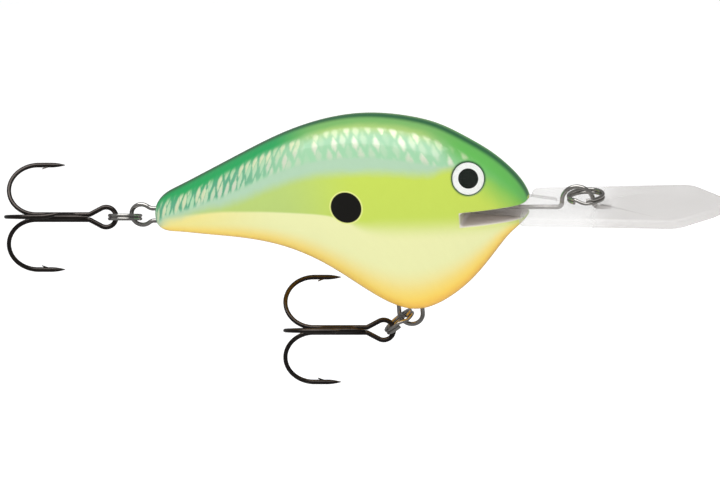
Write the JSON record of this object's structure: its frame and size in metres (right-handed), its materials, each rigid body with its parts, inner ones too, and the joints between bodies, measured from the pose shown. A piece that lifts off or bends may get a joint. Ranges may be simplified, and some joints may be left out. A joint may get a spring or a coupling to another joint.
{
  "type": "crankbait lure",
  "caption": "Deep-diving fishing lure: fat painted balsa body, clear diving lip with a line tie ring, and treble hooks on split rings under the belly and behind the tail.",
  "frame": {"origin": "centre of the line tie's wire arch, 0.15 mm above the top face of the diving lip", "axes": "+X forward along the lure, towards the lip's tip; +Z towards the back of the fish; -Y is its right side; the two body halves meet in the plane Y = 0"},
  "size_m": [0.1344, 0.0234, 0.0526],
  "materials": {
    "painted_balsa": "gloss",
    "clear_lip": "gloss",
    "bright_wire": "polished",
    "black_nickel": "gloss",
    "lead": "matt",
    "rattle_brass": "satin",
    "steel_ball": "polished",
    "eye_white": "gloss",
    "eye_black": "gloss",
    "eye_clear": "gloss"
  },
  "bodies": {
    "lure_body": {"body_half_right": "painted_balsa", "body_half_left": "painted_balsa", "diving_lip": "clear_lip", "line_tie_wire": "bright_wire", "tail_hanger": "bright_wire", "belly_hanger": "bright_wire", "belly_weight": "lead", "rattle_tube": "rattle_brass", "rattle_cap_back": "rattle_brass", "rattle_cap_front": "rattle_brass", "eye_iris_right": "eye_white", "eye_iris_left": "eye_white", "eye_pupil_right": "eye_black", "eye_pupil_left": "eye_black", "eye_lens_right": "eye_clear", "eye_lens_left": "eye_clear"},
    "rattle": {"rattle_ball": "steel_ball"},
    "tie_ring": {"line_tie_ring": "bright_wire"},
    "belly_ring": {"belly_split_ring": "bright_wire"},
    "belly_hook": {"belly_hook_double": "black_nickel", "belly_hook_single": "black_nickel"},
    "tail_ring": {"tail_split_ring": "bright_wire"},
    "tail_hook": {"tail_hook_double": "black_nickel", "tail_hook_single": "black_nickel"}
  },
  "joints": [
    {"name": "rattle_roll", "type": "slide", "parent": "lure_body", "child": "rattle", "axis": [1, 0, 0], "range_m": [-0.0033, 0.0033]},
    {"name": "line_tie_swing", "type": "hinge", "parent": "lure_body", "child": "tie_ring", "pos_m": [-0.0016, 0, 0.001], "axis": [0, -1, 0], "range_deg": [-3, 150]},
    {"name": "belly_ring_swing", "type": "hinge", "parent": "lure_body", "child": "belly_ring", "pos_m": [-0.0324, 0, -0.0217], "axis": [0, 1, 0], "range_deg": [-90, 10]},
    {"name": "belly_hook_swing", "type": "hinge", "parent": "belly_ring", "child": "belly_hook", "pos_m": [-0.03709, 0, -0.02511], "axis": [0, 1, 0], "range_deg": [-75, 10]},
    {"name": "tail_ring_swing", "type": "hinge", "parent": "lure_body", "child": "tail_ring", "pos_m": [-0.0822, 0, -0.00285], "axis": [0, 0.9367, -0.3502], "range_deg": [-75, 75]},
    {"name": "tail_hook_swing", "type": "hinge", "parent": "tail_ring", "child": "tail_hook", "pos_m": [-0.08685, 0, -0.00285], "axis": [0, 0.3502, 0.9367], "range_deg": [-70, 45]}
  ]
}
